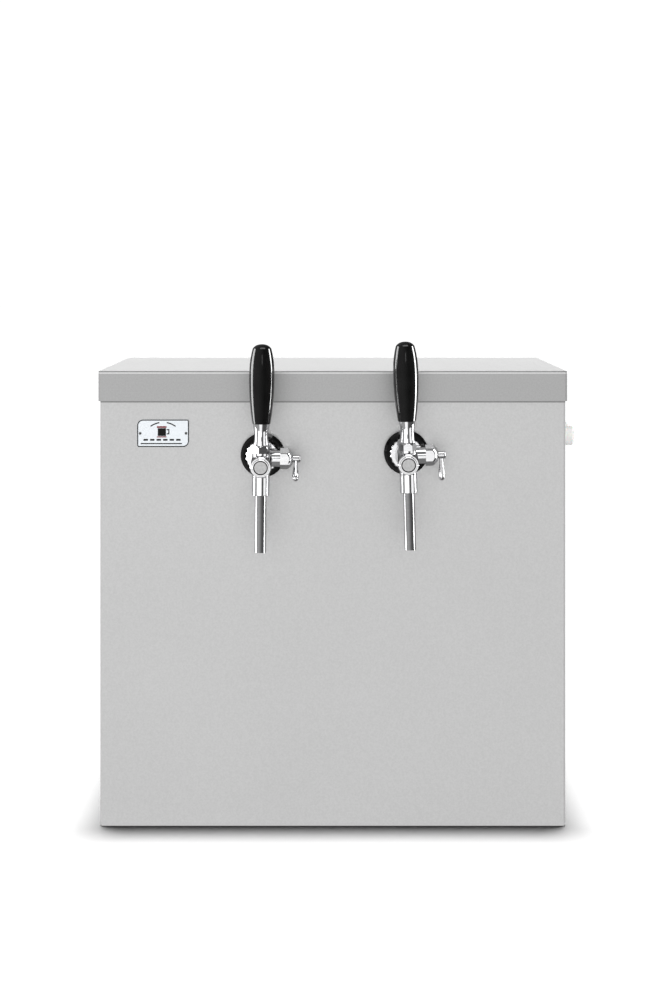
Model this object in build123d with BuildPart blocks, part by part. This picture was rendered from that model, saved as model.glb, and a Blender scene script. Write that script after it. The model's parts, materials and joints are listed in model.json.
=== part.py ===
from build123d import *

import os
from math import cos, pi, radians, sin

# Counter-top draught beer cooler: a stainless box with a lift-off lid, an ice tank that holds two cooling
# coils, and two lever taps with flow compensators on its front.
# Millimetres, +Z up, front towards -Y. The origin is on the counter, below the middle of the box.

os.makedirs("parts", exist_ok=True)

# Box
WIDTH = 542.0
DEPTH = 340.0
SHEET = 1.0
RIM_TOP = 513.0
BOX_CORNER = 2.5
BACK_FLANGE = 12.0
FRONT = -DEPTH / 2
BACK = DEPTH / 2
SIDE_WALL = WIDTH / 2
SHELL_BOTTOM = 1.5
PAN_HEIGHT = 15.0
FOAM_GAP = 2.0
BOARD_FIT = 0.3
SCREW_ROWS = (60, 190, 320, 450)
PAN_SCREW_X = 150.0

# Ice tank
TANK_WIDTH = 470.0
TANK_DEPTH = 270.0
TANK_FLOOR = 52.0
TANK_CORNER = 30.0
TANK_FLOOR_RADIUS = 4.0
TANK_FRONT = -TANK_DEPTH / 2
TANK_BACK = TANK_DEPTH / 2
TANK_SIDE = TANK_WIDTH / 2

# Lid
LID_WIDTH = 546.0
LID_DEPTH = 346.0
LID_TOP = 530.0
LID_SKIRT = 35.0
LID_CORNER = 3.0
GASKET_HEIGHT = 4.0
PLUG_DROP = 20.0
PLUG_GAP = 3.0

# Taps: each tap is built round the point where its shank's axis crosses the front face, then put in place.
# OUT runs forward along the shank, and BARREL slopes down along the tap's barrel. TOWER rises through the
# lever's pivot and the spout, and CROSS runs to the right through the compensator's spindle.
TAPS = {
    "left": Location((-81.3, FRONT, 432.5), (0, 0.5, 0)),
    "right": Location((85.2, FRONT, 435.5), (0, -1.5, 0)),
}
SLOPE = radians(9)
BARREL_START = 30.0
BARREL_LENGTH = 48.6
BARREL_RADIUS = 12.0
TOWER_OUT = 62.0
TOWER_TOP = 7.3
PIVOT_HEIGHT = 9.5
CROSS_AT = 6.0
OUT = Plane(origin=(0, 0, 0), x_dir=(1, 0, 0), z_dir=(0, -1, 0))
BARREL = Plane(origin=(0, -BARREL_START, 0), x_dir=(1, 0, 0), z_dir=(0, -cos(SLOPE), -sin(SLOPE)))
TOWER = Plane(origin=(0, -TOWER_OUT, 0), x_dir=(1, 0, 0), z_dir=(0, 0, 1))
PIVOT = Plane(origin=(0, -TOWER_OUT, PIVOT_HEIGHT), x_dir=(1, 0, 0), z_dir=(0, 0, 1))
CROSS = Plane(
    origin=BARREL.offset(CROSS_AT).origin,
    x_dir=(0, 1, 0),
    z_dir=(1, 0, 0),
)

# Shank
SHANK_RADIUS = 11.45
SHANK_BORE = 4.0
SHANK_FRONT = 18.0
SHANK_BACK = -60.0
TAIL_RADIUS = 8.0
TAIL_START = -52.0
TANK_WALL_OUT = -(TANK_FRONT - FRONT)

# Tap body
SEAT_AT = 20.5
CHAMBER_START = 21.5
CHAMBER_END = 43.0
REAR_CHAMBER_RADIUS = 7.5
CHAMBER_RADIUS = 6.5
SPOUT_SHOULDER = -19.0
SPOUT_STUB_END = -36.0
SPOUT_STUB_RADIUS = 7.5
NOZZLE_TIP = -105.0
NOZZLE_RADIUS = 6.5
NOZZLE_BORE = 5.5

# Lever and grip
BALL_RADIUS = 6.0
FINGER_LENGTH = 14.6
BELL_BOTTOM = 16.5
BELL_TOP = 41.0
GRIP_LENGTH = 90.0
STUD_LENGTH = 25.0

# Compensator: how far each spindle is turned from hanging straight down, and its eccentric pin
SPINDLE_TURN = {"left": -36.0, "right": 0.0}
ECCENTRICITY = 2.0
BOSS_END = 21.1
PACKING_END = BOSS_END + 7.9
GLAND_END = BOSS_END + 14.9
ARM_AT = 39.0

# Beer-line connectors through the right wall
CONNECTOR_Y = {"right": 0.0, "left": 60.0}
CONNECTOR_Z = 440.5
CONNECTOR_OUT = 299.4
CONNECTOR_IN = 213.0
COIL_END = 235.0
LINE_STOP = 262.0
SOCKET_END = 279.9
COLLET_END = 300.3
LINE_RADIUS = 4.76
LINE_WALL = 0.7

# Cooling coils
COIL_OUTER = 217.5
COIL_INNER = 12.5
COIL_HALF_DEPTH = 117.5
COIL_BOTTOM = 68.0
COIL_PITCH = 22.0
COIL_TURNS = 12
COIL_BEND = 25.0
DROP_AT = 180.0
RISE_Y = -70.0

# Drain valve through the back wall
DRAIN_Z = 70.0
DRAIN_THREAD = 8.3
DRAIN_BALL_Y = BACK + 21.0

# Fixings
SCREW_RADIUS = 1.95
PLATE_X = -197.6
PLATE_Z = 457.4
PLATE_WIDTH = 60.6
PLATE_HEIGHT = 32.2
RIVET_SPACING = 53.4

MIN_UP = (Align.CENTER, Align.CENTER, Align.MIN)


def rod(plane, start, end, radius, mode=Mode.ADD):
    """A round bar between two distances along a plane's normal."""
    with Locations(plane.offset(start)):
        Cylinder(radius, end - start, align=MIN_UP, mode=mode)


def taper(plane, start, end, start_radius, end_radius, mode=Mode.ADD):
    """A cone between two distances along a plane's normal."""
    with Locations(plane.offset(start)):
        Cone(start_radius, end_radius, end - start, align=MIN_UP, mode=mode)


def hex_bar(plane, start, end, across_flats, turn=0.0):
    """A hexagonal bar between two distances along a plane's normal."""
    with BuildSketch(plane.offset(start)) as profile:
        RegularPolygon(across_flats / 2, 6, major_radius=False, rotation=turn)
    extrude(profile.sketch, amount=end - start)


def ring(plane, start, end, outer, inner):
    """A plain ring, as its own part."""
    with BuildPart() as piece:
        rod(plane, start, end, outer)
        rod(plane, start, end, inner, Mode.SUBTRACT)
    return piece.part


def save(piece, name):
    """Labels a finished piece and writes it."""
    piece.label = name
    export_step(piece, f"parts/{name}.step")


def save_pair(piece, name):
    """Writes a tap piece once for each tap."""
    for side, place in TAPS.items():
        save(piece.moved(place), f"{side}_{name}")


def save_group(piece, name):
    """Writes both taps' copies of a piece in one file."""
    save(Compound([piece.moved(place) for place in TAPS.values()]), name)


def cut_wall_openings(shank_radius, connector_radius, drain_radius):
    """Cuts the round holes for the shanks, the line connectors and the drain through a wall."""
    for place in TAPS.values():
        point = place.position
        front = Plane(origin=(point.X, FRONT, point.Z), z_dir=(0, 1, 0))
        rod(front, -5, TANK_FRONT - FRONT + 5, shank_radius, Mode.SUBTRACT)
    for line_y in CONNECTOR_Y.values():
        right = Plane(origin=(0, line_y, CONNECTOR_Z), z_dir=(1, 0, 0))
        rod(right, TANK_SIDE - 5, SIDE_WALL + 5, connector_radius, Mode.SUBTRACT)
    rear = Plane(origin=(0, 0, DRAIN_Z), z_dir=(0, 1, 0))
    rod(rear, TANK_BACK - 5, BACK + 5, drain_radius, Mode.SUBTRACT)


def rounded_block(width, depth, corner, bottom, top):
    """An upright block with rounded vertical edges, as its own part."""
    with BuildPart() as block:
        with BuildSketch(Plane.XY.offset(bottom)):
            RectangleRounded(width, depth, corner)
        extrude(amount=top - bottom)
    return block.part


def tank_block(grow):
    """The ice tank's inside, grown evenly by a thickness, up to the rim."""
    with BuildPart() as block:
        add(
            rounded_block(
                TANK_WIDTH + 2 * grow,
                TANK_DEPTH + 2 * grow,
                TANK_CORNER + grow,
                TANK_FLOOR - grow,
                RIM_TOP,
            )
        )
        fillet(block.faces().sort_by(Axis.Z)[0].edges(), TANK_FLOOR_RADIUS + grow)
    return block.part


def panel_screw_points():
    """Where the back panel's screws sit, as X and Z: into the shell's flanges and into the base pan."""
    flange_screws = [(side * (SIDE_WALL - 8), z) for side in (-1, 1) for z in SCREW_ROWS]
    return flange_screws + [(side * PAN_SCREW_X, 9) for side in (-1, 1)]


# ---------------------------------------------------------------- case


def make_outer_shell():
    """One sheet bent round the front and sides, with a flange at each rear edge for the back panel."""
    inner_width = WIDTH - 2 * SHEET
    inner_depth = DEPTH - 3 * SHEET
    with BuildPart() as outer_shell:
        with BuildSketch(Plane.XY.offset(SHELL_BOTTOM)):
            with Locations((0, -SHEET / 2)):
                RectangleRounded(WIDTH, DEPTH - SHEET, BOX_CORNER)
                RectangleRounded(inner_width, inner_depth, BOX_CORNER - SHEET, mode=Mode.SUBTRACT)
            with Locations((0, BACK - 1.5 * SHEET)):
                Rectangle(WIDTH - 2 * BACK_FLANGE, 2 * SHEET, mode=Mode.SUBTRACT)
        extrude(amount=RIM_TOP - SHEET - SHELL_BOTTOM)
        cut_wall_openings(SHANK_RADIUS + 0.2, 10.2, DRAIN_THREAD)
        for x, z in panel_screw_points():
            rod(Plane(origin=(x, BACK - 5, z), z_dir=(0, 1, 0)), 0, 6, SCREW_RADIUS + 0.05, Mode.SUBTRACT)
        for side in (-1, 1):
            pin = Plane(origin=(PLATE_X + side * RIVET_SPACING / 2, FRONT - 2, PLATE_Z), z_dir=(0, 1, 0))
            rod(pin, 0, 5, 1.0, Mode.SUBTRACT)
    save(outer_shell.part, "outer_shell")


def make_back_panel():
    with BuildPart() as back_panel:
        with BuildSketch(Plane(origin=(0, BACK - SHEET, 0), x_dir=(1, 0, 0), z_dir=(0, -1, 0))):
            with Locations((0, RIM_TOP / 2)):
                RectangleRounded(WIDTH - 5, RIM_TOP - 6, 3)
        extrude(amount=-SHEET)
        rear = Plane(origin=(0, 0, DRAIN_Z), z_dir=(0, 1, 0))
        rod(rear, BACK - 5, BACK + 5, DRAIN_THREAD + 0.1, Mode.SUBTRACT)
        for x, z in panel_screw_points():
            rod(Plane(origin=(x, BACK - 5, z), z_dir=(0, 1, 0)), 0, 6, 2.2, Mode.SUBTRACT)
    save(back_panel.part, "back_panel")


def make_panel_screws():
    with BuildPart() as panel_screws:
        for x, z in panel_screw_points():
            axis = Plane(origin=(x, BACK, z), z_dir=(0, 1, 0))
            rod(axis, -9, 0, SCREW_RADIUS)
            rod(axis, 0, 1, 3.8)
            taper(axis, 1, 1.9, 3.8, 2.4)
            with Locations(axis.offset(1.4)):
                Box(0.9, 3.6, 1.0, mode=Mode.SUBTRACT)
                Box(3.6, 0.9, 1.0, mode=Mode.SUBTRACT)
    save(panel_screws.part, "panel_screws")


def make_base_pan():
    pan_width = WIDTH - 2 * SHEET
    pan_depth = DEPTH - 3 * SHEET
    with BuildPart() as base_pan:
        with Locations((0, -SHEET / 2, 0)):
            Box(pan_width, pan_depth, PAN_HEIGHT, align=MIN_UP)
        fillet(base_pan.edges().filter_by(Axis.Z), BOX_CORNER - SHEET)
        with Locations((0, -SHEET / 2, SHEET)):
            Box(pan_width - 2 * SHEET, pan_depth - 2 * SHEET, PAN_HEIGHT, align=MIN_UP, mode=Mode.SUBTRACT)
        for x, z in panel_screw_points():
            rod(Plane(origin=(x, BACK - 5, z), z_dir=(0, 1, 0)), 0, 6, SCREW_RADIUS + 0.05, Mode.SUBTRACT)
    save(base_pan.part, "base_pan")


def make_inner_tank():
    with BuildPart() as inner_tank:
        add(tank_block(SHEET))
        add(rounded_block(WIDTH, DEPTH, BOX_CORNER, RIM_TOP - SHEET, RIM_TOP))
        add(tank_block(0), mode=Mode.SUBTRACT)
        cut_wall_openings(SHANK_RADIUS + 0.1, 10.1, DRAIN_THREAD)
    save(inner_tank.part, "inner_tank")


def make_insulation():
    """Five foam boards round the tank: its floor, front, back, left and right."""
    inner_x = TANK_SIDE + SHEET + BOARD_FIT
    inner_y = TANK_BACK + SHEET + BOARD_FIT
    outer_x = SIDE_WALL - SHEET - FOAM_GAP
    outer_front = FRONT + SHEET + FOAM_GAP
    outer_back = BACK - 2 * SHEET - FOAM_GAP
    floor_top = TANK_FLOOR - SHEET - BOARD_FIT
    wall_bottom = floor_top + BOARD_FIT
    wall_top = RIM_TOP - SHEET
    end_x = inner_x - BOARD_FIT
    boards = [
        ((-outer_x, outer_front, SHEET), (outer_x, outer_back, floor_top)),
        ((-end_x, outer_front, wall_bottom), (end_x, -inner_y, wall_top)),
        ((-end_x, inner_y, wall_bottom), (end_x, outer_back, wall_top)),
        ((-outer_x, outer_front, wall_bottom), (-inner_x, outer_back, wall_top)),
        ((inner_x, outer_front, wall_bottom), (outer_x, outer_back, wall_top)),
    ]
    with BuildPart() as insulation:
        for low, high in boards:
            with Locations((Vector(*low) + Vector(*high)) / 2):
                Box(*(Vector(*high) - Vector(*low)))
        cut_wall_openings(SHANK_RADIUS + 0.5, 10.5, DRAIN_THREAD + 0.2)
        for x, z in panel_screw_points():
            rod(Plane(origin=(x, BACK - 15, z), z_dir=(0, 1, 0)), 0, 16, 3, Mode.SUBTRACT)
    save(insulation.part, "insulation")


def make_nameplate():
    face = Plane(origin=(PLATE_X, FRONT, PLATE_Z), x_dir=(1, 0, 0), z_dir=(0, -1, 0))
    with BuildPart() as nameplate:
        with BuildSketch(face):
            with BuildLine():
                high_left = (-PLATE_WIDTH / 2, PLATE_HEIGHT / 2)
                high_right = (PLATE_WIDTH / 2, PLATE_HEIGHT / 2)
                low_right = (PLATE_WIDTH / 2, -PLATE_HEIGHT / 2)
                low_left = (-PLATE_WIDTH / 2, -PLATE_HEIGHT / 2)
                corners = (high_left, high_right, low_right, low_left)
                FilletPolyline(*corners, radius=(7, 2.5, 7, 2.5), close=True)
            make_face()
        extrude(amount=1.0)
        with Locations(face.offset(-1)):
            with GridLocations(RIVET_SPACING, 1, 2, 1):
                Cylinder(1.0, 3, align=MIN_UP, mode=Mode.SUBTRACT)
    save(nameplate.part, "nameplate")


def make_nameplate_rivets():
    with BuildPart() as nameplate_rivets:
        for side in (-1, 1):
            axis = Plane(
                origin=(PLATE_X + side * RIVET_SPACING / 2, FRONT, PLATE_Z),
                x_dir=(1, 0, 0),
                z_dir=(0, -1, 0),
            )
            rod(axis, -2, 1.0, 0.95)
            rod(axis, 1.0, 1.4, 1.5)
            taper(axis, 1.4, 1.9, 1.5, 0.8)
    save(nameplate_rivets.part, "nameplate_rivets")


# ---------------------------------------------------------------- lid


def make_lid_cover():
    with BuildPart() as lid_cover:
        add(rounded_block(LID_WIDTH, LID_DEPTH, LID_CORNER, LID_TOP - LID_SKIRT, LID_TOP))
        fillet(lid_cover.faces().sort_by(Axis.Z)[-1].edges(), LID_CORNER / 2)
        add(
            rounded_block(
                LID_WIDTH - 2 * SHEET,
                LID_DEPTH - 2 * SHEET,
                LID_CORNER - SHEET,
                LID_TOP - LID_SKIRT,
                LID_TOP - SHEET,
            ),
            mode=Mode.SUBTRACT,
        )
    save(lid_cover.part, "lid_cover")


def lid_plug(shrink, bottom, top):
    """The part of the lid that drops into the tank, shrunk evenly by a thickness."""
    gap = PLUG_GAP + shrink
    return rounded_block(TANK_WIDTH - 2 * gap, TANK_DEPTH - 2 * gap, TANK_CORNER - gap, bottom, top)


def make_lid_liner():
    base = RIM_TOP + GASKET_HEIGHT
    with BuildPart() as lid_liner:
        add(rounded_block(LID_WIDTH - 4, LID_DEPTH - 4, LID_CORNER - SHEET, base, base + SHEET))
        add(lid_plug(0, RIM_TOP - PLUG_DROP, base))
        add(lid_plug(SHEET, RIM_TOP - PLUG_DROP + SHEET, base + SHEET), mode=Mode.SUBTRACT)
    save(lid_liner.part, "lid_liner")


def make_lid_insulation():
    base = RIM_TOP + GASKET_HEIGHT
    with BuildPart() as lid_insulation:
        add(rounded_block(LID_WIDTH - 4, LID_DEPTH - 4, LID_CORNER - SHEET, base + SHEET, LID_TOP - SHEET))
        add(lid_plug(SHEET + 0.2, RIM_TOP - PLUG_DROP + SHEET, base + SHEET))
    save(lid_insulation.part, "lid_insulation")


def gasket_block(grow):
    """A block of the gasket's height, larger than the tank's mouth by a margin."""
    return rounded_block(
        TANK_WIDTH + 2 * grow,
        TANK_DEPTH + 2 * grow,
        TANK_CORNER + grow,
        RIM_TOP,
        RIM_TOP + GASKET_HEIGHT,
    )


def make_lid_gasket():
    with BuildPart() as lid_gasket:
        add(gasket_block(22))
        add(gasket_block(8), mode=Mode.SUBTRACT)
    save(lid_gasket.part, "lid_gasket")


# ---------------------------------------------------------------- taps


def make_tap_body():
    """Tail, sloping barrel, lever tower with spout stub, and the compensator's boss, bored through."""
    with BuildPart() as tap_body:
        rod(OUT, SHANK_FRONT, 21, 10.5)
        rod(OUT, 21, 25, 9)
        rod(OUT, 24.5, 28, 13)
        rod(BARREL, -4, BARREL_LENGTH, BARREL_RADIUS)
        rod(TOWER, SPOUT_SHOULDER, TOWER_TOP, 9.7)
        rod(CROSS, 0, BOSS_END, 9.5)
        rod(TOWER, TOWER_TOP, TOWER_TOP + 10, 10.3, Mode.SUBTRACT)
        rod(TOWER, SPOUT_STUB_END, SPOUT_SHOULDER, SPOUT_STUB_RADIUS)
        rod(CROSS, BOSS_END, PACKING_END, 8)
        chamfer(tap_body.faces().sort_by(Axis.Y)[0].edges(), 0.8)
        rod(OUT, SHANK_FRONT, 25, 6, Mode.SUBTRACT)
        rod(BARREL, -5.9, SEAT_AT, REAR_CHAMBER_RADIUS, Mode.SUBTRACT)
        rod(BARREL, SEAT_AT, CHAMBER_START, 4.75, Mode.SUBTRACT)
        rod(BARREL, CHAMBER_START, CHAMBER_END, CHAMBER_RADIUS, Mode.SUBTRACT)
        rod(BARREL, CHAMBER_END, BARREL_LENGTH, 8, Mode.SUBTRACT)
        rod(TOWER, 2.4, TOWER_TOP, 7.5, Mode.SUBTRACT)
        rod(TOWER, -5, 2.4, 5.2, Mode.SUBTRACT)
        rod(TOWER, SPOUT_STUB_END, -5, 4.5, Mode.SUBTRACT)
        rod(CROSS, 0, PACKING_END - 5, 4.05, Mode.SUBTRACT)
        rod(CROSS, PACKING_END - 5, PACKING_END, 5.8, Mode.SUBTRACT)
        add(ring(TOWER, -31, -29, 8, 6.5), mode=Mode.SUBTRACT)
    save_pair(tap_body.part, "tap_body")


def make_lever():
    """Chromed bell and stem on a pivot ball, with a finger below and the grip's stud above."""
    with BuildPart() as lever:
        with BuildSketch(Plane.XZ.offset(TOWER_OUT)):
            with BuildLine():
                Polyline((8.9, BELL_BOTTOM + 0.8), (8.9, BELL_BOTTOM), (0, BELL_BOTTOM), (0, BELL_TOP))
                Polyline((0, BELL_TOP), (9.3, BELL_TOP), (9.6, BELL_TOP - 0.5))
                ThreePointArc((9.6, BELL_TOP - 0.5), (7.7, 27.0), (8.9, BELL_BOTTOM + 0.8))
            make_face()
        revolve(axis=Axis((0, -TOWER_OUT, 0), (0, 0, 1)))
        with Locations(PIVOT):
            Sphere(10.8, mode=Mode.SUBTRACT)
        rod(PIVOT, 0, 13, 3)
        with Locations(PIVOT):
            Sphere(BALL_RADIUS)
        rod(PIVOT, -FINGER_LENGTH, 0, 1.5)
        with Locations(PIVOT.offset(-FINGER_LENGTH)):
            Sphere(2.4)
        rod(TOWER, BELL_TOP, BELL_TOP + STUD_LENGTH, 4)
    save_pair(lever.part, "lever")


def make_handle():
    with BuildPart() as handle:
        with BuildSketch(Plane.XZ.offset(TOWER_OUT)):
            with BuildLine():
                foot = (10.3, BELL_TOP)
                shoulder = (10.6, BELL_TOP + 85)
                crown = (0, BELL_TOP + GRIP_LENGTH)
                belly = [(12.75, BELL_TOP + 18), (14.4, BELL_TOP + 43), (12.75, BELL_TOP + 75)]
                Spline(foot, *belly, shoulder)
                Spline(shoulder, crown, tangents=((-0.55, 0.83), (-1, 0)))
                Polyline(crown, (0, BELL_TOP), foot)
            make_face()
        revolve(axis=Axis((0, -TOWER_OUT, 0), (0, 0, 1)))
        rod(TOWER, BELL_TOP, BELL_TOP + STUD_LENGTH + 1, 4.05, Mode.SUBTRACT)
    save_pair(handle.part, "handle")


def make_bonnet_nuts():
    """Domed hexagon nuts that hold the lever's ball down. The two nuts stopped at different angles."""
    nuts = []
    for side, turn in {"left": 15.0, "right": 0.0}.items():
        with BuildPart() as nut:
            hex_bar(TOWER, TOWER_TOP, BELL_BOTTOM, 17, turn)
            with Locations(PIVOT):
                Sphere(10.4, mode=Mode.INTERSECT)
            rod(TOWER, 4, TOWER_TOP, 7.45)
            rod(TOWER, 4, PIVOT_HEIGHT, 6.3, Mode.SUBTRACT)
            with Locations(PIVOT):
                Sphere(BALL_RADIUS + 0.15, mode=Mode.SUBTRACT)
            taper(TOWER, PIVOT_HEIGHT + 3.5, BELL_BOTTOM + 0.1, 5.15, 6.5, Mode.SUBTRACT)
        nuts.append(nut.part.moved(TAPS[side]))
    save(Compound(nuts), "bonnet_nuts")


def make_ball_seats():
    with BuildPart() as seat:
        add(ring(TOWER, 2.4, 7.0, 6.25, 5.2))
        with Locations(PIVOT):
            Sphere(BALL_RADIUS + 0.05, mode=Mode.SUBTRACT)
    save_group(seat.part, "lever_ball_seats")


def make_piston():
    """Seal head, rod and slotted guide, which the lever's finger moves along the barrel."""
    with BuildPart() as piston:
        rod(BARREL, 16, 17.5, 4.5)
        rod(BARREL, 17.5, 27.5, 3)
        rod(BARREL, 27.5, 39, CHAMBER_RADIUS - 0.1)
        with Locations(BARREL.offset(32.4)):
            with Locations((0, 1.5, 0)):
                Box(5.4, 11, 5.4, mode=Mode.SUBTRACT)
        with Locations(BARREL.offset(32.3)):
            with Locations((0, 4.8, 0)):
                Box(5.4, 4.6, 9.8, mode=Mode.SUBTRACT)
            with Locations((0, -5.5, 0)):
                Box(4, 3, 14, mode=Mode.SUBTRACT)
    save_pair(piston.part, "piston")


def make_front_cap():
    """Threaded plug of the barrel's front end, recessed for a black ring and a medallion inside it."""
    face = BARREL_LENGTH + 1.4
    recess = face - 0.8
    disc_radius = 7.15
    ring_radius = 8.3
    with BuildPart() as front_cap:
        rod(BARREL, CHAMBER_END, BARREL_LENGTH, 7.95)
        rod(BARREL, BARREL_LENGTH, face, 9.8)
        chamfer(front_cap.faces().sort_by(Axis.Y)[0].edges(), 0.4)
        rod(BARREL, recess, face, ring_radius + 0.05, Mode.SUBTRACT)
    save_group(front_cap.part, "front_caps")
    save_group(ring(BARREL, recess, face - 0.3, ring_radius, disc_radius + 0.05), "cap_rings")
    with BuildPart() as medallion:
        rod(BARREL, recess, face - 0.1, disc_radius)
        chamfer(medallion.faces().sort_by(Axis.Y)[0].edges(), 0.2)
    save_group(medallion.part, "cap_medallions")


def make_coupling_nut():
    """Round nut with a fluted rim that clamps the tap's tail to the shank."""
    rim = 19.0
    with BuildPart() as coupling_nut:
        rod(OUT, 9, 24, rim)
        chamfer(coupling_nut.edges(), 1.2)
        with BuildSketch(OUT.offset(9)):
            with PolarLocations(rim + 1.1, 20):
                Circle(2.2)
        extrude(amount=15, mode=Mode.SUBTRACT)
        rod(OUT, 9, 21.1, SHANK_RADIUS + 0.1, Mode.SUBTRACT)
        rod(OUT, 21.1, 24, 9.3, Mode.SUBTRACT)
    save_group(coupling_nut.part, "coupling_nuts")


def make_rosette():
    """Dished cover ring between the front sheet and the coupling nut."""
    with BuildPart() as rosette:
        rod(OUT, 0, 5.5, 25.75)
        taper(OUT, 5.5, 8, 25.75, 22.6)
        rod(OUT, 0, 3.2, 15.2, Mode.SUBTRACT)
        rod(OUT, 0, 8, SHANK_RADIUS + 0.2, Mode.SUBTRACT)
    save_group(rosette.part, "rosettes")


def make_shank():
    """Threaded tube through the wall, with a flange outside and a narrower tail inside the tank."""
    with BuildPart() as shank:
        rod(OUT, TAIL_START, SHANK_FRONT, SHANK_RADIUS)
        rod(OUT, SHANK_BACK, TAIL_START, TAIL_RADIUS)
        rod(OUT, 0, 3, 15)
        rod(OUT, SHANK_BACK, SHANK_FRONT, SHANK_BORE, Mode.SUBTRACT)
    save_pair(shank.part, "shank")
    save_group(ring(OUT, TANK_WALL_OUT - 2, TANK_WALL_OUT, 17, SHANK_RADIUS + 0.1), "shank_washers")


def make_shank_nuts():
    with BuildPart() as shank_nut:
        hex_bar(OUT, TANK_WALL_OUT - 12, TANK_WALL_OUT - 2, 30)
        rod(OUT, TANK_WALL_OUT - 12, TANK_WALL_OUT - 2, SHANK_RADIUS + 0.05, Mode.SUBTRACT)
    save_group(shank_nut.part, "shank_nuts")
    with BuildPart() as tail_nut:
        hex_bar(OUT, SHANK_BACK - 7, TAIL_START - 1, 21)
        rod(OUT, SHANK_BACK - 0.2, TAIL_START - 1, TAIL_RADIUS + 0.1, Mode.SUBTRACT)
        rod(OUT, SHANK_BACK - 7, SHANK_BACK - 0.2, LINE_RADIUS + 0.1, Mode.SUBTRACT)
    save_group(tail_nut.part, "tail_nuts")


def make_nozzle():
    """Straight spout tube, the collar nut that holds its flange, and the O-ring above it."""
    lip = -38.4
    collar_end = -40.5
    with BuildPart() as nozzle_collar:
        rod(TOWER, collar_end, SPOUT_SHOULDER - 0.2, 9.75)
        chamfer(nozzle_collar.edges(), 0.7)
        rod(TOWER, lip, SPOUT_SHOULDER - 0.2, SPOUT_STUB_RADIUS + 0.1, Mode.SUBTRACT)
        rod(TOWER, collar_end, lip, NOZZLE_RADIUS + 0.1, Mode.SUBTRACT)
    save_pair(nozzle_collar.part, "nozzle_collar")
    with BuildPart() as nozzle_tube:
        rod(TOWER, NOZZLE_TIP, SPOUT_STUB_END - 0.2, NOZZLE_RADIUS)
        rod(TOWER, lip + 0.1, SPOUT_STUB_END - 0.2, 7.4)
        rod(TOWER, NOZZLE_TIP, SPOUT_STUB_END - 0.2, NOZZLE_BORE, Mode.SUBTRACT)
    save_pair(nozzle_tube.part, "nozzle_tube")
    save_group(ring(TOWER, -30.9, -29.1, 7.55, 6.55), "nozzle_orings")


def make_gland():
    """Domed gland nut on the compensator's boss, and the packing that it presses round the spindle."""
    with BuildPart() as gland_nut:
        hex_bar(CROSS, BOSS_END, GLAND_END - 3, 21, 30)
        taper(CROSS, GLAND_END - 3, GLAND_END, 10.0, 6.6)
        with Locations(CROSS.offset(BOSS_END + 1.9)):
            Sphere(13.4, mode=Mode.INTERSECT)
        rod(CROSS, BOSS_END, PACKING_END + 0.2, 8.1, Mode.SUBTRACT)
        rod(CROSS, PACKING_END + 0.2, GLAND_END, 4.1, Mode.SUBTRACT)
    save_group(gland_nut.part, "gland_nuts")
    save_group(ring(CROSS, PACKING_END - 4.9, PACKING_END - 0.1, 5.75, 4.1), "spindle_packings")


def make_compensator_lever():
    """Spindle with an eccentric pin inside and a hanging teardrop lever outside."""
    hanging = Plane(origin=CROSS.offset(ARM_AT).origin, x_dir=(1, 0, 0), z_dir=(0, -1, 0))
    with BuildPart() as compensator_lever:
        rod(CROSS, 7.9, ARM_AT, 4.0)
        rod(CROSS, GLAND_END + 0.3, ARM_AT + 5.5, 4.3)
        fillet(compensator_lever.faces().sort_by(Axis.X)[-1].edges(), 2.2)
        with BuildSketch(hanging):
            with BuildLine():
                neck = (1.9, -3)
                tip = (0, -29.3)
                belly = [(2.0, -7), (2.9, -15), (3.7, -23), (3.1, -27.2)]
                Spline(neck, *belly, tip, tangents=((0, -1), (-1, 0)))
                Polyline(tip, (0, -3), neck)
            make_face()
        revolve(axis=Axis(hanging.origin, (0, 0, 1)))
        pin = CROSS.shift_origin(
            CROSS.origin + Vector(0, ECCENTRICITY * sin(SLOPE), -ECCENTRICITY * cos(SLOPE))
        )
        rod(pin, 3.2, 7.9, 1.5)
    spindle = Axis(CROSS.origin, (1, 0, 0))
    for side, turn in SPINDLE_TURN.items():
        piece = compensator_lever.part.rotate(spindle, turn)
        save(piece.moved(TAPS[side]), f"{side}_compensator_lever")


def make_compensator_core():
    """Tapered flow plug in the rear chamber, moved along it by the spindle's eccentric pin."""
    with BuildPart() as core:
        rod(BARREL, -1, 8.4, 6.8)
        taper(BARREL, -4, -1, 4.6, 6.8)
        with Locations(BARREL.offset(CROSS_AT)):
            with Locations((5, 0, 0)):
                Box(4.4, 16, 3.7, mode=Mode.SUBTRACT)
    for side, turn in SPINDLE_TURN.items():
        travel = ECCENTRICITY * sin(radians(turn))
        shift = Location(BARREL.z_dir * -travel)
        save(core.part.moved(shift).moved(TAPS[side]), f"{side}_compensator_core")


def make_piston_seal():
    save_pair(ring(BARREL, 17.5, SEAT_AT - 0.1, 6.25, 3.05), "piston_seal")


# ---------------------------------------------------------------- beer lines


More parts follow.
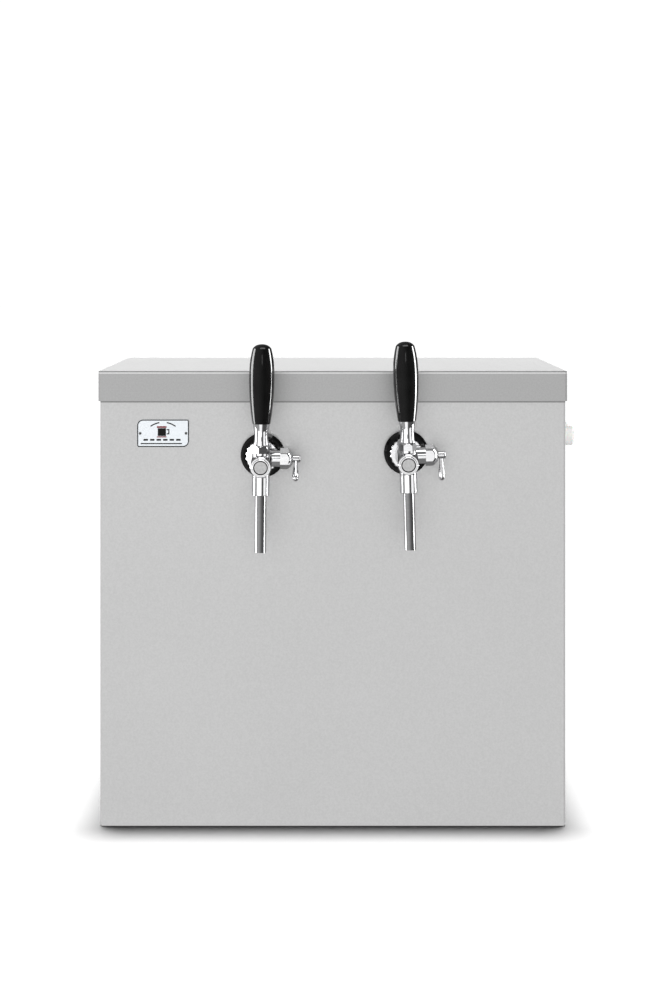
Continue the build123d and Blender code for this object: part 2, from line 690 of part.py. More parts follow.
def make_line_connectors():
    """White push-fit bulkhead connectors, their nuts inside the tank, seals and release collets."""
    bodies = []
    nuts = []
    seals = []
    for side, line_y in CONNECTOR_Y.items():
        axis = Plane(origin=(0, line_y, CONNECTOR_Z), z_dir=(1, 0, 0))
        with BuildPart() as body:
            rod(axis, SIDE_WALL, CONNECTOR_OUT, 12.1)
            fillet(body.faces().sort_by(Axis.X)[-1].edges(), 1.6)
            rod(axis, CONNECTOR_IN, SIDE_WALL, 10.0)
            rod(axis, CONNECTOR_OUT - 2.6, CONNECTOR_OUT, 8.9, Mode.SUBTRACT)
            rod(axis, SOCKET_END, CONNECTOR_OUT, 7.0, Mode.SUBTRACT)
            rod(axis, LINE_STOP, SOCKET_END, LINE_RADIUS + 0.04, Mode.SUBTRACT)
            rod(axis, COIL_END, LINE_STOP, 4.5, Mode.SUBTRACT)
            rod(axis, CONNECTOR_IN, COIL_END, LINE_RADIUS + 0.34, Mode.SUBTRACT)
        bodies.append(body.part)
        with BuildPart() as nut:
            hex_bar(axis, TANK_SIDE - 7, TANK_SIDE, 27)
            rod(axis, TANK_SIDE - 7, TANK_SIDE, 10.05, Mode.SUBTRACT)
        nuts.append(nut.part)
        seals.append(ring(axis, 280, 283, 6.95, LINE_RADIUS + 0.24))
        with BuildPart() as collet:
            rod(axis, 285, COLLET_END, 6.9)
            rod(axis, COLLET_END - 1.7, COLLET_END, 8.5)
            rod(axis, 285, COLLET_END, LINE_RADIUS + 0.3, Mode.SUBTRACT)
        save(collet.part, f"{side}_line_collet")
    save(Compound(bodies), "line_connectors")
    save(Compound(nuts), "connector_nuts")
    save(Compound(seals), "connector_seals")


def coil_points(side):
    """The corners of one coil's route, from its connector's inner end to its shank's tail."""
    sign = -1 if side == "left" else 1
    line_y = CONNECTOR_Y[side]
    tap = TAPS[side].position
    points = [
        (COIL_END, line_y, CONNECTOR_Z),
        (sign * DROP_AT, line_y, CONNECTOR_Z),
        (sign * DROP_AT, line_y, COIL_BOTTOM),
        (sign * DROP_AT, -COIL_HALF_DEPTH, COIL_BOTTOM),
    ]
    corners = [
        (COIL_INNER, -COIL_HALF_DEPTH),
        (COIL_INNER, COIL_HALF_DEPTH),
        (COIL_OUTER, COIL_HALF_DEPTH),
        (COIL_OUTER, -COIL_HALF_DEPTH),
    ]
    for step in range(4 * COIL_TURNS - 1):
        away, y = corners[step % 4]
        points.append((sign * away, y, COIL_BOTTOM + COIL_PITCH * (step + 1) / 4))
    top = points[-1][2] + COIL_PITCH / 4
    tail_y = FRONT - SHANK_BACK
    points.append((sign * COIL_OUTER, RISE_Y, top))
    points.append((sign * COIL_OUTER, RISE_Y, tap.Z))
    points.append((tap.X, RISE_Y, tap.Z))
    points.append((tap.X, tail_y, tap.Z))
    return points


def make_coil(side):
    points = coil_points(side)
    with BuildPart() as coil:
        with BuildLine() as route:
            FilletPolyline(*points, radius=COIL_BEND)
        with BuildSketch(Plane(origin=points[0], z_dir=(-1, 0, 0))):
            Circle(LINE_RADIUS)
            Circle(LINE_RADIUS - LINE_WALL, mode=Mode.SUBTRACT)
        sweep(path=route.line)
    section = pi * (LINE_RADIUS**2 - (LINE_RADIUS - LINE_WALL) ** 2)
    length = route.wires()[0].length
    print(side, "coil", round(length), "mm, volume ratio", round(coil.part.volume / section / length, 4))
    save(coil.part, f"{side}_coil")


def make_coil_rack():
    """Two flat-bar frames that hold both coils off the tank's floor."""
    bar = 2.0
    width = 20.0
    low = COIL_BOTTOM - 8
    high = 338.0
    reach = 225.0
    with BuildPart() as coil_rack:
        for y in (-30, 30):
            for z in (low, high):
                with Locations((0, y, z)):
                    Box(2 * reach, width, bar, align=MIN_UP)
            for x in (-reach + bar / 2, 0, reach - bar / 2):
                with Locations((x, y, low)):
                    Box(bar, width, high + bar - low, align=MIN_UP)
            for x in (-reach + 20, reach - 20):
                with Locations((x, y, TANK_FLOOR)):
                    Box(width, width, low - TANK_FLOOR, align=MIN_UP)
        with Locations((0, 0, low)):
            Box(width, 60, bar, align=MIN_UP)
    save(coil_rack.part, "coil_rack")


# ---------------------------------------------------------------- drain


def make_drain():
    """Small ball valve through the back wall, with a threaded outlet and a quarter-turn lever."""
    axis = Plane(origin=(0, 0, DRAIN_Z), z_dir=(0, 1, 0))
    upright = Plane(origin=(0, DRAIN_BALL_Y, DRAIN_Z), x_dir=(1, 0, 0), z_dir=(0, 0, 1))
    with BuildPart() as valve:
        rod(axis, TANK_BACK - 10, BACK, DRAIN_THREAD - 0.1)
        hex_bar(axis, BACK, BACK + 8, 24)
        rod(axis, BACK + 8, BACK + 34, 11)
        rod(upright, 0, 14.5, 6)
        rod(axis, BACK + 34, BACK + 48, DRAIN_THREAD)
        rod(axis, TANK_BACK - 10, BACK + 48, 4.5, Mode.SUBTRACT)
        with Locations(upright):
            Sphere(8.05, mode=Mode.SUBTRACT)
        rod(upright, 0, 14.5, 3.05, Mode.SUBTRACT)
    save(valve.part, "drain_valve_body")
    with BuildPart() as ball:
        with Locations(upright):
            Sphere(8.0)
        rod(Plane(origin=upright.origin, z_dir=(1, 0, 0)), -9, 9, 4.5, Mode.SUBTRACT)
        rod(upright, 7, 18.5, 3)
    save(ball.part, "drain_valve_ball")
    with BuildPart() as handle:
        with BuildSketch(upright.offset(14.8)):
            with Locations((14, 0)):
                SlotCenterToCenter(38, 12)
        extrude(amount=3)
        rod(upright, 14.8, 17.8, 3.05, Mode.SUBTRACT)
    save(handle.part, "drain_valve_handle")
    with BuildPart() as nut:
        hex_bar(axis, TANK_BACK - 7, TANK_BACK, 24)
        rod(axis, TANK_BACK - 7, TANK_BACK, DRAIN_THREAD - 0.05, Mode.SUBTRACT)
    save(nut.part, "drain_valve_nut")


make_outer_shell()
make_back_panel()
make_panel_screws()
make_base_pan()
make_inner_tank()
make_insulation()
make_nameplate()
make_nameplate_rivets()
make_lid_cover()
make_lid_liner()
make_lid_insulation()
make_lid_gasket()
make_tap_body()
make_lever()
make_handle()
make_bonnet_nuts()
make_ball_seats()
make_piston()
make_piston_seal()
make_front_cap()
make_coupling_nut()
make_rosette()
make_shank()
make_shank_nuts()
make_nozzle()
make_gland()
make_compensator_lever()
make_compensator_core()
make_line_connectors()
make_coil("left")
make_coil("right")
make_coil_rack()
make_drain()
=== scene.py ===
import json
from math import cos, pi, radians, sin

import bmesh
import bpy
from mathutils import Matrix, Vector


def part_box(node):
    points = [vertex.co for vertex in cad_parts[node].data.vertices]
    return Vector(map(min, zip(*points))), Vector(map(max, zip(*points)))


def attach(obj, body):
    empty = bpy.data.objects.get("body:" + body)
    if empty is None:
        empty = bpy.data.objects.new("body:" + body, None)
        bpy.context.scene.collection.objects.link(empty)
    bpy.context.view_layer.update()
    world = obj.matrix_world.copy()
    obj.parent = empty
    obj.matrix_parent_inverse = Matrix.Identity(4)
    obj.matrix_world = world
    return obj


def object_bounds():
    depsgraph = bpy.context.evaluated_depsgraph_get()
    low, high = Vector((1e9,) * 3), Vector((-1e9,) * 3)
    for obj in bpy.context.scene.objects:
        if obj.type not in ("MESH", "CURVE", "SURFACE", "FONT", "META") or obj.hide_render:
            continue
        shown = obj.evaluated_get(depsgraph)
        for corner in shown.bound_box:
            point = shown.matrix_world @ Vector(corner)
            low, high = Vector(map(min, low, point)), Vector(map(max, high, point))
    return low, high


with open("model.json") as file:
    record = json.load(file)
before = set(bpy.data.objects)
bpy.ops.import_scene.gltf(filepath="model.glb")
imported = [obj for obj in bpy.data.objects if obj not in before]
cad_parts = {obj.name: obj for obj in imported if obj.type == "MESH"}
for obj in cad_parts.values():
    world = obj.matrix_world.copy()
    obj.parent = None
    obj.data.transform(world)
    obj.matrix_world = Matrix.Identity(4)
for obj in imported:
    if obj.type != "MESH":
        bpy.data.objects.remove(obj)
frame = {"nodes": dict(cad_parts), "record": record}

# A stainless two-tap beer cooler. Metres, +Z up, front towards -Y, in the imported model's frame.

CAD_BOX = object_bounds()
BOX_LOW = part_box("outer_shell")[0]
LID_LOW, LID_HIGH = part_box("lid_cover")
PLATE_LOW, PLATE_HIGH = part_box("nameplate")
MM = 0.001


# ---------------------------------------------------------------- materials


def new_material(name):
    """A material with a Principled shader. Returns the material, its node tree and the shader."""
    material = bpy.data.materials.new(name)
    material.use_nodes = True
    tree = material.node_tree
    shader = tree.nodes["Principled BSDF"]
    return material, tree, shader


def set_shader(shader, **values):
    """Sets Principled sockets by name, with underscores for spaces."""
    for name, value in values.items():
        shader.inputs[name.replace("_", " ")].default_value = value


def noise(tree, scale, stretch=(1, 1, 1), detail=4.0, roughness=0.5):
    """A noise texture in object coordinates, stretched along an axis. Returns its value socket."""
    coords = tree.nodes.new("ShaderNodeTexCoord")
    mapping = tree.nodes.new("ShaderNodeMapping")
    mapping.inputs["Scale"].default_value = stretch
    texture = tree.nodes.new("ShaderNodeTexNoise")
    texture.inputs["Scale"].default_value = scale
    texture.inputs["Detail"].default_value = detail
    texture.inputs["Roughness"].default_value = roughness
    tree.links.new(coords.outputs["Object"], mapping.inputs["Vector"])
    tree.links.new(mapping.outputs["Vector"], texture.inputs["Vector"])
    return texture.outputs["Fac"]


def remap(tree, value, low, high, from_low=0.3, from_high=0.7):
    """Maps a texture value to a range."""
    node = tree.nodes.new("ShaderNodeMapRange")
    node.inputs["From Min"].default_value = from_low
    node.inputs["From Max"].default_value = from_high
    node.inputs["To Min"].default_value = low
    node.inputs["To Max"].default_value = high
    tree.links.new(value, node.inputs["Value"])
    return node.outputs["Result"]


def two_tone(tree, value, dark, light, low=0.3, high=0.7):
    """A colour that runs between two tones with a texture value."""
    ramp = tree.nodes.new("ShaderNodeValToRGB")
    ramp.color_ramp.elements[0].position = low
    ramp.color_ramp.elements[0].color = (*dark, 1)
    ramp.color_ramp.elements[1].position = high
    ramp.color_ramp.elements[1].color = (*light, 1)
    tree.links.new(value, ramp.inputs["Fac"])
    return ramp.outputs["Color"]


def bump(tree, shader, value, distance, strength=1.0, after=None):
    """Adds a bump to the shader's normal, on top of an earlier one if given."""
    node = tree.nodes.new("ShaderNodeBump")
    node.inputs["Distance"].default_value = distance
    node.inputs["Strength"].default_value = strength
    tree.links.new(value, node.inputs["Height"])
    if after is not None:
        tree.links.new(after, node.inputs["Normal"])
    tree.links.new(node.outputs["Normal"], shader.inputs["Normal"])
    return node.outputs["Normal"]


def grey(value):
    """A neutral colour."""
    return (value, value, value)


def product(tree, first, second):
    """Two values multiplied."""
    node = tree.nodes.new("ShaderNodeMath")
    node.operation = "MULTIPLY"
    tree.links.new(first, node.inputs[0])
    tree.links.new(second, node.inputs[1])
    return node.outputs["Value"]


def painted_light_line(tree, centre, half_height, strength):
    """A factor of one, and less by a strength along a line at one height: a painted shade line. A negative
    strength brightens it into a painted highlight line.
    """
    coords = tree.nodes.new("ShaderNodeTexCoord")
    axes = tree.nodes.new("ShaderNodeSeparateXYZ")
    tree.links.new(coords.outputs["Object"], axes.inputs["Vector"])
    gap = tree.nodes.new("ShaderNodeMath")
    gap.operation = "SUBTRACT"
    tree.links.new(axes.outputs["Z"], gap.inputs[0])
    gap.inputs[1].default_value = centre
    away = tree.nodes.new("ShaderNodeMath")
    away.operation = "ABSOLUTE"
    tree.links.new(gap.outputs["Value"], away.inputs[0])
    return remap(tree, away.outputs["Value"], 1 - strength, 1.0, half_height * 0.6, half_height)


def brushed_steel(name, tone, roughness, grain, painted_light_lines=()):
    """Satin stainless sheet: fine brushing along one axis, small mottling, faint clouding, and painted shade
    and highlight lines at given heights.
    """
    material, tree, shader = new_material(name)
    set_shader(shader, Metallic=1.0)
    stretch = [1.0 if axis == grain else 60.0 for axis in "XYZ"]
    lines = noise(tree, 30, stretch, 6, 0.65)
    mottle = noise(tree, 520, (1, 1, 1), 2, 0.5)
    clouds = noise(tree, 5, (1, 1, 1), 3, 0.5)
    value = product(tree, remap(tree, clouds, tone * 0.985, tone * 1.01), remap(tree, lines, 0.975, 1.025))
    value = product(tree, value, remap(tree, mottle, 0.955, 1.045))
    # Painted shade and highlight lines: the colour is darkened or brightened along the given heights.
    for line in painted_light_lines:
        value = product(tree, value, painted_light_line(tree, *line))
    tree.links.new(value, shader.inputs["Base Color"])
    tree.links.new(remap(tree, lines, roughness - 0.05, roughness + 0.06), shader.inputs["Roughness"])
    first = bump(tree, shader, lines, 0.00002, 0.5)
    bump(tree, shader, mottle, 0.00001, 0.4, first)
    return material


def turned_steel(name, tone, roughness):
    """Machined or drawn stainless: soft even sheen with faint uneven patches."""
    material, tree, shader = new_material(name)
    set_shader(shader, Metallic=1.0)
    patches = noise(tree, 220, (1, 1, 1), 4, 0.6)
    tree.links.new(two_tone(tree, patches, grey(tone * 0.93), grey(tone * 1.04)), shader.inputs["Base Color"])
    tree.links.new(remap(tree, patches, roughness - 0.06, roughness + 0.08), shader.inputs["Roughness"])
    bump(tree, shader, noise(tree, 1500, (1, 1, 1), 2), 0.00001, 0.3)
    return material


def chrome(name):
    """Polished chrome over cast brass: a mirror with dark rims, slight orange peel and faint wiping marks."""
    material, tree, shader = new_material(name)
    set_shader(shader, Metallic=1.0, Specular_Tint=(0.2, 0.2, 0.2, 1))
    wipe = noise(tree, 90, (1, 1, 5), 5, 0.65)
    tree.links.new(two_tone(tree, wipe, (0.80, 0.80, 0.81), (0.90, 0.90, 0.91)), shader.inputs["Base Color"])
    tree.links.new(remap(tree, wipe, 0.035, 0.10), shader.inputs["Roughness"])
    bump(tree, shader, noise(tree, 120, (1, 1, 1), 2), 0.00004, 0.35)
    return material


def black_gloss(name):
    """Moulded glossy black: deep colour, soft mottling and hair scratches in its shine."""
    material, tree, shader = new_material(name)
    set_shader(shader, Specular_IOR_Level=0.5)
    mottle = noise(tree, 60, (1, 1, 1), 4)
    scratches = noise(tree, 140, (12, 12, 1), 5, 0.7)
    tree.links.new(two_tone(tree, mottle, grey(0.002), grey(0.006)), shader.inputs["Base Color"])
    tree.links.new(remap(tree, scratches, 0.06, 0.16, 0.35, 0.75), shader.inputs["Roughness"])
    bump(tree, shader, mottle, 0.00008, 0.25)
    return material


def white_plastic(name, tone=0.80):
    """White moulded acetal with a slightly waxy surface."""
    material, tree, shader = new_material(name)
    set_shader(shader, Subsurface_Weight=0.15, Subsurface_Scale=0.003, Specular_IOR_Level=0.45)
    speck = noise(tree, 500, (1, 1, 1), 3)
    light = (tone, tone, tone * 0.985)
    dark = (tone * 0.94, tone * 0.94, tone * 0.92)
    tree.links.new(two_tone(tree, speck, dark, light), shader.inputs["Base Color"])
    tree.links.new(remap(tree, speck, 0.28, 0.42), shader.inputs["Roughness"])
    bump(tree, shader, speck, 0.00003, 0.3)
    return material


def rubber(name):
    """Matt black rubber."""
    material, tree, shader = new_material(name)
    grain = noise(tree, 900, (1, 1, 1), 4)
    tree.links.new(two_tone(tree, grain, grey(0.012), grey(0.028)), shader.inputs["Base Color"])
    tree.links.new(remap(tree, grain, 0.55, 0.8), shader.inputs["Roughness"])
    bump(tree, shader, grain, 0.00006, 0.5)
    return material


def foam(name):
    """Cut polyurethane foam: cream, with open cells."""
    material, tree, shader = new_material(name)
    coords = tree.nodes.new("ShaderNodeTexCoord")
    cells = tree.nodes.new("ShaderNodeTexVoronoi")
    cells.inputs["Scale"].default_value = 700
    tree.links.new(coords.outputs["Object"], cells.inputs["Vector"])
    distance = cells.outputs["Distance"]
    cream = two_tone(tree, distance, (0.62, 0.53, 0.30), (0.82, 0.74, 0.50), 0.0, 0.6)
    tree.links.new(cream, shader.inputs["Base Color"])
    set_shader(shader, Roughness=0.9)
    bump(tree, shader, distance, 0.0004, 0.6)
    return material


def satin_medallion(name):
    """Satin nickel disc, lightly clouded."""
    material, tree, shader = new_material(name)
    set_shader(shader, Metallic=1.0, Anisotropic=0.4)
    cloud = noise(tree, 350, (1, 1, 1), 5, 0.7)
    tree.links.new(two_tone(tree, cloud, grey(0.40), grey(0.58)), shader.inputs["Base Color"])
    tree.links.new(remap(tree, cloud, 0.34, 0.52), shader.inputs["Roughness"])
    bump(tree, shader, noise(tree, 700, (1, 1, 1), 3), 0.00004, 0.5)
    return material


def plate_metal(name):
    """Pale anodised aluminium."""
    material, tree, shader = new_material(name)
    set_shader(shader, Metallic=0.35)
    grain = noise(tree, 120, (1, 30, 30), 5, 0.6)
    blue_white = two_tone(tree, grain, (0.66, 0.70, 0.74), (0.78, 0.81, 0.84))
    tree.links.new(blue_white, shader.inputs["Base Color"])
    tree.links.new(remap(tree, grain, 0.30, 0.45), shader.inputs["Roughness"])
    bump(tree, shader, grain, 0.00001, 0.5)
    return material


def ink(name, dark, light):
    """Screen-printed ink, slightly uneven in cover."""
    material, tree, shader = new_material(name)
    cover = noise(tree, 2500, (1, 1, 1), 4)
    tree.links.new(two_tone(tree, cover, dark, light), shader.inputs["Base Color"])
    tree.links.new(remap(tree, cover, 0.4, 0.6), shader.inputs["Roughness"])
    return material


def vinyl_blue(name):
    """Dipped vinyl grip on the drain's lever."""
    material, tree, shader = new_material(name)
    set_shader(shader, Specular_IOR_Level=0.5)
    grain = noise(tree, 400, (1, 1, 1), 4)
    blue = two_tone(tree, grain, (0.015, 0.05, 0.22), (0.03, 0.09, 0.32))
    tree.links.new(blue, shader.inputs["Base Color"])
    tree.links.new(remap(tree, grain, 0.3, 0.5), shader.inputs["Roughness"])
    bump(tree, shader, grain, 0.00008, 0.4)
    return material


# Painted light lines: height, half height and strength. Along the lid's fold, a painted shade line where it
# turns down and a painted highlight line under it stand in for the light on its bend. Under its skirt, a
# painted shade line stands in for the shadow where it rests against the case.
FOLD_PAINTED_LIGHT_LINES = [(LID_HIGH.z - 0.9 * MM, 0.75 * MM, 0.45), (LID_HIGH.z - 2.3 * MM, 0.9 * MM, -0.7)]
SKIRT_PAINTED_SHADE_LINES = [(LID_LOW.z - 0.7 * MM, 1.5 * MM, 0.5)]

SLOT_MATERIALS = {
    # The case's colour carries a painted shade line under the lid's skirt.
    "brushed_case": brushed_steel("brushed_case", 0.505, 0.42, "X", SKIRT_PAINTED_SHADE_LINES),
    "tank_steel": turned_steel("tank_steel", 0.66, 0.34),
    "foam": foam("foam"),
    "seal_rubber": rubber("seal_rubber"),
    "nameplate_metal": plate_metal("nameplate_metal"),
    "tap_chrome": chrome("tap_chrome"),
    "medallion_satin": satin_medallion("medallion_satin"),
    "black_gloss": black_gloss("black_gloss"),
    "shank_steel": turned_steel("shank_steel", 0.60, 0.26),
    "white_plastic": white_plastic("white_plastic"),
    "drain_lever_blue": vinyl_blue("drain_lever_blue"),
}
NODE_MATERIALS = {
    # The lid's colour carries a painted shade line and a painted highlight line along its fold.
    "lid_cover": brushed_steel("brushed_lid", 0.355, 0.40, "X", FOLD_PAINTED_LIGHT_LINES),
    "nameplate_rivets": turned_steel("dark_rivets", 0.10, 0.40),
}


def finish_cad_nodes():
    """Gives every CAD node the material of its slot, or its own."""
    for part in frame["record"]["subparts"]:
        node = frame["nodes"][part["node"]]
        material = NODE_MATERIALS.get(part["node"], SLOT_MATERIALS[part["material_slot"]])
        for slot in node.material_slots:
            slot.material = material


# ---------------------------------------------------------------- nameplate print

PLATE_CENTRE_X = (PLATE_LOW.x + PLATE_HIGH.x) / 2
PLATE_CENTRE_Z = (PLATE_LOW.z + PLATE_HIGH.z) / 2
BIG_CORNER = 7 * MM
SMALL_CORNER = 2.5 * MM
BORDER_OUTER = 0.15 * MM
BORDER_INNER = 1.35 * MM
BORDER_HEIGHT = 0.12 * MM
PRINT_HEIGHT = 0.08 * MM
DASH_PITCH = 7.6
DASH_LENGTH = 5.2
ARC_DROP = 12 * MM
ARC_RADIUS = 25.5 * MM
ARC_WIDTH = 1.4 * MM


def flat_piece(name, outlines, y, thickness, material):
    """A thin raised print on a plane facing the front, from closed outlines of X and Z."""
    mesh = bpy.data.meshes.new(name)
    shape = bmesh.new()
    for outline in outlines:
        corners = [shape.verts.new((x, y, z)) for x, z in outline]
        face = shape.faces.new(corners)
        face.normal_update()
        if face.normal.y > 0:
            face.normal_flip()
        solid = bmesh.ops.extrude_face_region(shape, geom=[face])
        moved = [item for item in solid["geom"] if isinstance(item, bmesh.types.BMVert)]
        bmesh.ops.translate(shape, verts=moved, vec=(0, -thickness, 0))
    bmesh.ops.recalc_face_normals(shape, faces=shape.faces)
    shape.to_mesh(mesh)
    shape.free()
    piece = bpy.data.objects.new(name, mesh)
    bpy.context.scene.collection.objects.link(piece)
    mesh.materials.append(material)
    return piece


def arc(x, z, radius, start, end, steps=8):
    """Points along an arc, in degrees anticlockwise from +X."""
    angles = [radians(start + (end - start) * i / steps) for i in range(steps + 1)]
    return [(x + radius * cos(a), z + radius * sin(a)) for a in angles]


def bar(start, end, middle, height):
    """The outline of a rule, in millimetres from the nameplate's centre."""
    x0, x1 = PLATE_CENTRE_X + start * MM, PLATE_CENTRE_X + end * MM
    z0, z1 = (PLATE_CENTRE_Z + (middle + side * height / 2) * MM for side in (-1, 1))
    return [(x0, z0), (x1, z0), (x1, z1), (x0, z1)]


def printed_arc(start, end):
    """The outline of a curved rule over the mug, between two angles."""
    x, z = PLATE_CENTRE_X, PLATE_CENTRE_Z - ARC_DROP
    outer = arc(x, z, ARC_RADIUS, start, end)
    inner = arc(x, z, ARC_RADIUS - ARC_WIDTH, start, end)
    return outer + inner[::-1]


def plate_outline(inset):
    """The nameplate's outline, inset evenly: large radii at its upper left and lower right corners."""
    left, right = PLATE_LOW.x + inset, PLATE_HIGH.x - inset
    low, high = PLATE_LOW.z + inset, PLATE_HIGH.z - inset
    big, small = BIG_CORNER - inset, SMALL_CORNER - inset
    points = arc(left + big, high - big, big, 180, 90)
    points += arc(right - small, high - small, small, 90, 0)
    points += arc(right - big, low + big, big, 0, -90)
    points += arc(left + small, low + small, small, -90, -180)
    return points


def ring_strips(outer, inner):
    """Quads between two outlines with the same number of points."""
    count = len(outer)
    return [
        [outer[i], outer[(i + 1) % count], inner[(i + 1) % count], inner[i]] for i in range(count)
    ]


def make_nameplate_print():
    """A dark border, a mug with foam, two arcs and plain rules. It carries no words."""
    black = ink("plate_ink_black", grey(0.006), grey(0.02))
    red = ink("plate_ink_red", (0.30, 0.02, 0.03), (0.45, 0.05, 0.06))
    face_y = PLATE_LOW.y
    edge = ring_strips(plate_outline(BORDER_OUTER), plate_outline(BORDER_INNER))
    body = bar(-6.2, 3.4, 1.4, 9.0)
    handle = [bar(4.2, 7.4, 4.2, 1.3), bar(6.1, 7.4, 1.8, 3.6), bar(4.2, 7.4, -0.6, 1.3)]
    arcs = [printed_arc(126, 100), printed_arc(80, 54)]
    starts = [DASH_PITCH * (k - 3) for k in range(6)]
    dashes = [bar(start, start + DASH_LENGTH, -7.6, 2.1) for start in starts]
    rule = bar(-26, 22, -12.0, 1.3)
    head = bar(-7.2, 4.0, 7.3, 2.0)
    underline = bar(-7.2, 4.0, -4.2, 1.3)
    for piece in (
        flat_piece("nameplate_border", edge, face_y, BORDER_HEIGHT, black),
        flat_piece("nameplate_marks", [body, *handle, *arcs, *dashes, rule], face_y, PRINT_HEIGHT, black),
        flat_piece("nameplate_accent", [head, underline], face_y, PRINT_HEIGHT, red),
    ):
        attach(piece, "cabinet")


# ---------------------------------------------------------------- studio

FLOOR_TONE = 0.15
FLOOR_LIGHT = 1.05
FLOOR_SIZE = 60
SUN_ANGLE = radians(8.2)
SUN_TILT = radians(4.0)
ROOM_LEFT = 0.34
ROOM_RIGHT = 0.08

# Groups of nodes that lights are limited to
CASE_NODES = ("outer_shell", "back_panel", "base_pan", "lid_cover")
SHEET_NODES = (*CASE_NODES, "inner_tank", "lid_liner", "panel_screws", "nameplate", "nameplate_rivets")
SHEET_NODES += ("cap_medallions", "line_connectors", "drain_valve_body")
FITTING_NODES = ("line_connectors", "left_line_collet", "right_line_collet")
GRIP_NODES = ("left_handle", "right_handle")
TUBE_NODES = ("left_nozzle_tube", "right_nozzle_tube")
SMALL_NODES = tuple(name for name in frame["nodes"] if name not in SHEET_NODES)
BRIGHT_NODES = tuple(name for name in SMALL_NODES if name not in TUBE_NODES)
CAST_NODES = tuple(name for name in BRIGHT_NODES if name not in (*GRIP_NODES, "rosettes", "cap_rings"))
LIT_GROUPS = {
    "sheet_metal": SHEET_NODES,
    "lid": ("lid_cover",),
    "grips": GRIP_NODES,
    "nozzle_tubes": TUBE_NODES,
    "bright_work": BRIGHT_NODES,
    "castings": CAST_NODES,
    "fittings": FITTING_NODES,
}

# Points that the lights face
ROOM_CENTRE = (0, 0, 0.4)
OVER_LID = (0, 0, 0.9)
LID_EDGE = (0, -0.17, 0.53)
FITTING = (0.29, 0, 0.44)
TAP_GRIPS = (0, -0.2, 0.5)
TAP_BODIES = (0, -0.2, 0.45)
TAP_CAPS = (-0.05, -0.2, 0.42)

# Softboxes: name, place, point faced, width, height, radiance and the group that it lights. The four walls
# are the even glow that the sheet metal reflects.
WALL_SIZE = (6.4, 5.6)
WALLS = (
    ("wall_front", (0, -3.4, 0.4), ROOM_CENTRE, *WALL_SIZE, 1.05, "sheet_metal"),
    ("wall_back", (0, 3.4, 0.4), ROOM_CENTRE, *WALL_SIZE, 0.95, "sheet_metal"),
    ("wall_left", (-3.4, 0, 0.4), ROOM_CENTRE, *WALL_SIZE, 0.85, "sheet_metal"),
    ("wall_right", (3.4, 0, 0.4), ROOM_CENTRE, *WALL_SIZE, 0.90, "sheet_metal"),
)
SOFTBOXES = (
    ("ceiling", (0, -0.2, 3.0), OVER_LID, 6.4, 3.0, 1.3, "sheet_metal"),
    ("lid_glow", (0, 3.3, 0.4), ROOM_CENTRE, 9.0, 2.5, 0.95, "lid"),
    ("fold_glow", (0, -2.6, 3.0), LID_EDGE, 6.0, 1.2, 2.0, "lid"),
    ("fitting_glow", (2.2, -2.0, 1.0), FITTING, 1.8, 1.8, 2.3, "fittings"),
    ("strip_left", (-1.5, 0.05, 0.7), TAP_GRIPS, 0.7, 1.5, 5, "bright_work"),
    ("strip_right", (1.5, 0.05, 0.7), TAP_GRIPS, 0.3, 1.5, 11, "bright_work"),
    ("grip_left", (-1.4, 0.05, 0.7), TAP_GRIPS, 0.7, 1.5, 4, "grips"),
    ("grip_right", (1.4, 0.05, 0.7), TAP_GRIPS, 0.42, 1.5, 20, "grips"),
    ("key_wide", (-1.2, -2.4, 0.8), TAP_BODIES, 2.4, 2.4, 1.1, "castings"),
    ("fill_right", (1.9, -1.7, 0.7), TAP_BODIES, 1.5, 2.0, 1.0, "castings"),
    ("tube_left", (-1.5, -0.05, 0.7), TAP_GRIPS, 0.42, 1.5, 5, "nozzle_tubes"),
    ("tube_right", (1.5, -0.3, 0.7), TAP_GRIPS, 0.18, 1.5, 9, "nozzle_tubes"),
    ("tube_front", (0.12, -3.0, 1.3), TAP_GRIPS, 0.3, 0.5, 1.4, "nozzle_tubes"),
    ("front_low", (-0.3, -2.0, -0.2), TAP_CAPS, 1.3, 1.3, 0.85, "castings"),
    ("overhead", (0.1, -0.7, 2.0), TAP_BODIES, 1.2, 0.7, 2.5, "bright_work"),
    ("front_band", (0.12, -3.0, 1.25), TAP_GRIPS, 0.28, 0.5, 2.0, "bright_work"),
)


def plane_object(name, size, material):
    """A flat square about the origin."""
    mesh = bpy.data.meshes.new(name)
    half = size / 2
    corners = [(-half, -half, 0), (half, -half, 0), (half, half, 0), (-half, half, 0)]
    mesh.from_pydata(corners, [], [(0, 1, 2, 3)])
    piece = bpy.data.objects.new(name, mesh)
    bpy.context.scene.collection.objects.link(piece)
    mesh.materials.append(material)
    return piece


def make_floor():
    """A plain white table that fades into the white background, and that the metal doesn't mirror."""
    material, tree, shader = new_material("floor_white")
    grain = noise(tree, 3, (1, 1, 1), 2)
    tones = two_tone(tree, grain, grey(FLOOR_TONE * 0.98), grey(FLOOR_TONE * 1.02))
    tree.links.new(tones, shader.inputs["Base Color"])
    set_shader(shader, Roughness=0.9, Specular_IOR_Level=0.0)
    floor = plane_object("floor", FLOOR_SIZE, material)
    floor.location.z = CAD_BOX[0].z - 0.2 * MM
    floor.visible_glossy = False
    floor.visible_shadow = False
    return floor


def group_of(name, objects):
    """A collection that a light can be limited to."""
    group = bpy.data.collections.new(name)
    for item in objects:
        group.objects.link(item)
    return group


def add_light(name, light, place, target, only_on):
    """Puts a light at a place, facing a point, and limits it to a group of objects."""
    lamp = bpy.data.objects.new(name, light)
    bpy.context.scene.collection.objects.link(lamp)
    lamp.location = place
    direction = Vector(target) - Vector(place)
    lamp.rotation_euler = direction.to_track_quat("-Z", "Y").to_euler()
    lamp.visible_camera = False
    lamp.light_linking.receiver_collection = only_on
    return lamp


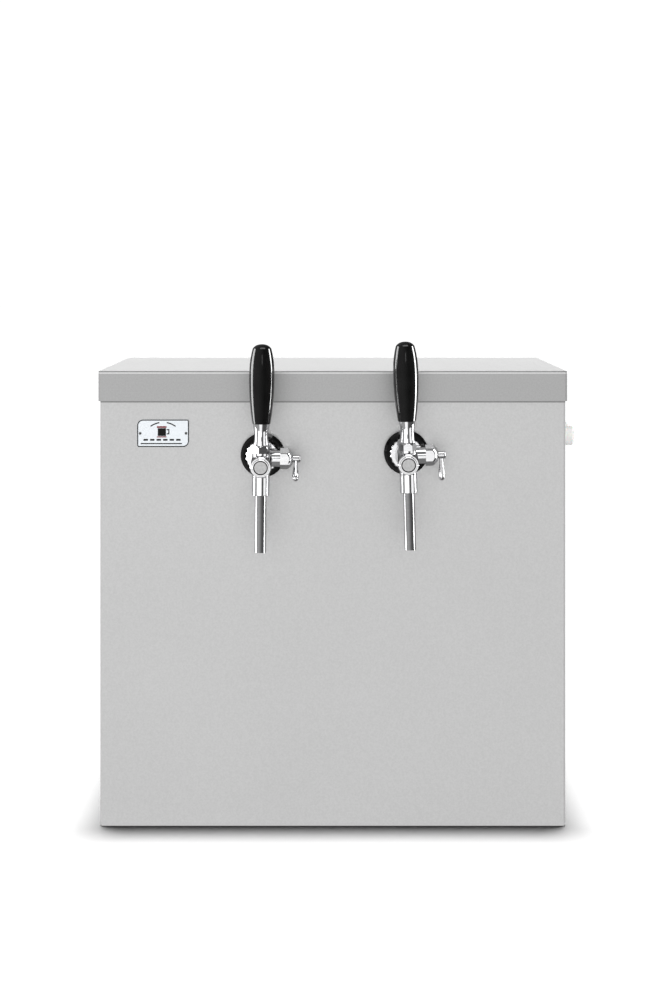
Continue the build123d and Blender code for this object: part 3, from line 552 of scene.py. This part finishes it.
def add_softbox(name, place, target, width, height, radiance, only_on):
    """A rectangular studio light with an even glow."""
    light = bpy.data.lights.new(name, "AREA")
    light.shape = "RECTANGLE"
    light.size = width
    light.size_y = height
    light.energy = radiance * pi * width * height
    return add_light(name, light, place, target, only_on)


def make_world():
    """White to the camera, and for light and reflections a dim room, brighter on its left."""
    world = bpy.data.worlds.new("studio")
    bpy.context.scene.world = world
    world.use_nodes = True
    tree = world.node_tree
    output = tree.nodes["World Output"]
    room = tree.nodes["Background"]
    coords = tree.nodes.new("ShaderNodeTexCoord")
    axes = tree.nodes.new("ShaderNodeSeparateXYZ")
    tree.links.new(coords.outputs["Generated"], axes.inputs["Vector"])
    level = remap(tree, axes.outputs["X"], ROOM_LEFT, ROOM_RIGHT, -0.5, 0.5)
    tree.links.new(level, room.inputs["Strength"])
    backdrop = tree.nodes.new("ShaderNodeBackground")
    backdrop.inputs["Strength"].default_value = FLOOR_LIGHT
    for shader in (room, backdrop):
        shader.inputs["Color"].default_value = (1, 1, 1, 1)
    rays = tree.nodes.new("ShaderNodeLightPath")
    mix = tree.nodes.new("ShaderNodeMixShader")
    tree.links.new(rays.outputs["Is Camera Ray"], mix.inputs["Fac"])
    tree.links.new(room.outputs["Background"], mix.inputs[1])
    tree.links.new(backdrop.outputs["Background"], mix.inputs[2])
    tree.links.new(mix.outputs["Shader"], output.inputs["Surface"])


def light_floor(floor):
    """A soft sun from overhead and slightly behind, which leaves a tight shadow in front of the box."""
    sun = bpy.data.lights.new("table_sun", "SUN")
    sun.energy = FLOOR_LIGHT * pi / FLOOR_TONE
    sun.angle = SUN_ANGLE
    place = (0, 3 * sin(SUN_TILT), 3 * cos(SUN_TILT))
    lamp = add_light("table_sun", sun, place, (0, 0, 0), group_of("table", [floor]))
    case = [frame["nodes"][name] for name in CASE_NODES]
    lamp.light_linking.blocker_collection = group_of("table_blockers", case)


def light_studio(floor):
    """The room, the floor's sun, the walls that shine past the taps, and the softboxes."""
    make_world()
    light_floor(floor)
    groups = {}
    for name, members in LIT_GROUPS.items():
        groups[name] = group_of(name, [frame["nodes"][node] for node in members])
    for *wall, group in WALLS:
        lamp = add_softbox(*wall, groups[group])
        lamp.light_linking.blocker_collection = groups[group]
    for *softbox, group in SOFTBOXES:
        add_softbox(*softbox, groups[group])


# ---------------------------------------------------------------- camera

LENS = 72.3
SENSOR_WIDTH = 36
SHIFT_DOWN = 0.233
CAMERA_PLACE = (0.0008, BOX_LOW.y - 2.339, 0.651)


def place_camera():
    """A level camera in front of the box, above its lid, shifted down to frame it."""
    camera = bpy.data.cameras.new("camera")
    camera.lens = LENS
    camera.sensor_width = SENSOR_WIDTH
    camera.shift_y = -SHIFT_DOWN
    holder = bpy.data.objects.new("camera", camera)
    bpy.context.scene.collection.objects.link(holder)
    holder.location = CAMERA_PLACE
    holder.rotation_euler = (radians(90), 0, 0)
    bpy.context.scene.camera = holder


finish_cad_nodes()
make_nameplate_print()
light_studio(make_floor())
place_camera()
bpy.context.scene.view_settings.view_transform = "Standard"
